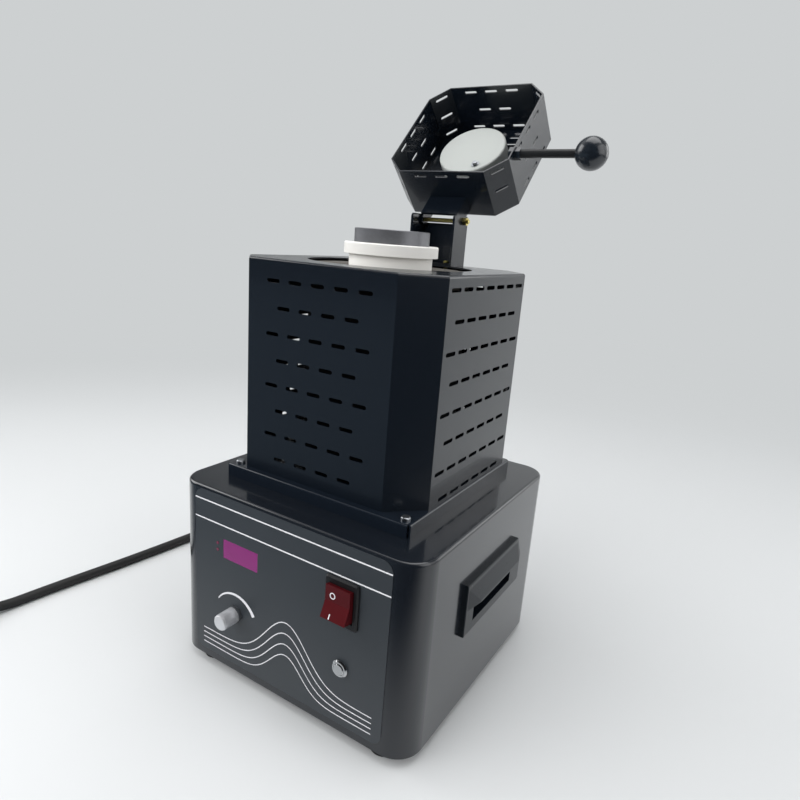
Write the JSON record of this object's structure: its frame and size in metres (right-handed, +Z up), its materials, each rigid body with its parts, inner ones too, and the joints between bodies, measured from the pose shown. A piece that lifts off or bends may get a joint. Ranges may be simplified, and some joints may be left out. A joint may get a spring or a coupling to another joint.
{
  "type": "electric melting furnace",
  "caption": "Benchtop induction melting furnace: control base, vented furnace body, graphite crucible in a ceramic collar, hinged lid with ball handle",
  "frame": {"origin": "centre of the base's footprint, on the table", "axes": "+Z up, the control panel faces -Y, the lid's handle points along +X"},
  "size_m": [0.4038, 0.5752, 0.4723],
  "materials": {
    "base_paint": "gloss powder coat on folded steel sheet",
    "plate_paint": "gloss black coat on folded sheet",
    "furnace_paint": "dark powder coat on vented sheet",
    "overlay_film": "printed satin film",
    "window_tint": "tinted clear acrylic",
    "lamp_lens": "small coloured lens",
    "black_plastic": "moulded black plastic",
    "gloss_black": "polished black plastic",
    "rocker_red": "deep red plastic",
    "silver": "turned aluminium",
    "chrome": "polished chrome plate",
    "zinc": "yellow zinc plated steel",
    "steel": "plain steel",
    "graphite": "machined graphite",
    "white_ceramic": "fired white ceramic",
    "fibre": "ceramic fibre board",
    "copper": "copper tube",
    "circuit_board": "glass fibre circuit board",
    "rubber": "soft black rubber",
    "ferrite": "grey ferrite",
    "sink_alloy": "extruded aluminium",
    "capacitor_sleeve": "shrink sleeve",
    "winding_tape": "taped winding"
  },
  "bodies": {
    "housing": {"base_housing": "base_paint", "base_bottom_plate": "base_paint", "rubber_feet": "rubber", "front_overlay": "overlay_film", "display_window": "window_tint", "display_module": "black_plastic", "indicator_lamps": "lamp_lens", "control_board": "circuit_board", "potentiometer": "steel", "knob_nut": "steel", "switch_body": "black_plastic", "button_bezel": "chrome", "button_contact_block": "black_plastic", "side_handle_right": "gloss_black", "side_handle_left": "gloss_black", "mount_plate": "plate_paint", "plate_spacers": "steel", "plate_screws": "steel", "furnace_floor": "furnace_paint", "furnace_shell": "furnace_paint", "insulation_jacket": "fibre", "top_board": "fibre", "hearth_block": "white_ceramic", "ceramic_collar": "white_ceramic", "induction_coil": "copper", "hinge_bracket": "furnace_paint", "bracket_screws": "zinc", "hinge_pin": "zinc", "hinge_nut": "zinc", "fan_frame": "black_plastic", "fan_guard": "steel", "board_standoffs": "steel", "power_board": "circuit_board", "heat_sink": "sink_alloy", "power_transistors": "black_plastic", "capacitors": "capacitor_sleeve", "transformer_core": "ferrite", "transformer_winding": "winding_tape", "terminal_block": "black_plastic", "cord_gland": "black_plastic", "cord_lead_in": "rubber", "cord_coil": "rubber", "cord_run": "rubber", "mains_plug": "black_plastic", "plug_pins": "steel"},
    "lid": {"lid_shell": "furnace_paint", "lid_plug": "white_ceramic", "lid_plug_screw": "steel", "lid_leaf": "furnace_paint", "leaf_screws": "steel", "lid_handle_rod": "black_plastic", "lid_handle_nuts": "steel", "lid_ball": "gloss_black"},
    "melting_crucible": {"crucible": "graphite"},
    "knob": {"power_knob": "silver", "knob_shaft": "silver"},
    "rocker": {"switch_rocker": "rocker_red"},
    "button": {"button_cap": "chrome"},
    "fan": {"fan_rotor": "black_plastic"}
  },
  "joints": [
    {"name": "lid_hinge", "type": "hinge", "parent": "housing", "child": "lid", "pos_m": [-0.0072, 0.086, 0.3525], "axis": [-1, 0, 0], "range_deg": [-134, 0]},
    {"name": "crucible_lift", "type": "slide", "parent": "housing", "child": "melting_crucible", "axis": [0, 0, 1], "range_m": [0, 0.115]},
    {"name": "knob_turn", "type": "hinge", "parent": "housing", "child": "knob", "pos_m": [-0.045, -0.11, 0.0583], "axis": [0, 1, 0], "range_deg": [0, 270]},
    {"name": "rocker_tilt", "type": "hinge", "parent": "housing", "child": "rocker", "pos_m": [0.0513, -0.1075, 0.1073], "axis": [1, 0, 0], "range_deg": [0, 25]},
    {"name": "button_press", "type": "slide", "parent": "housing", "child": "button", "axis": [0, 1, 0], "range_m": [0, 0.002], "stiffness_N_per_m": 400},
    {"name": "fan_spin", "type": "hinge", "parent": "housing", "child": "fan", "pos_m": [0.015, 0.09, 0.066], "axis": [0, 1, 0], "continuous": true}
  ]
}
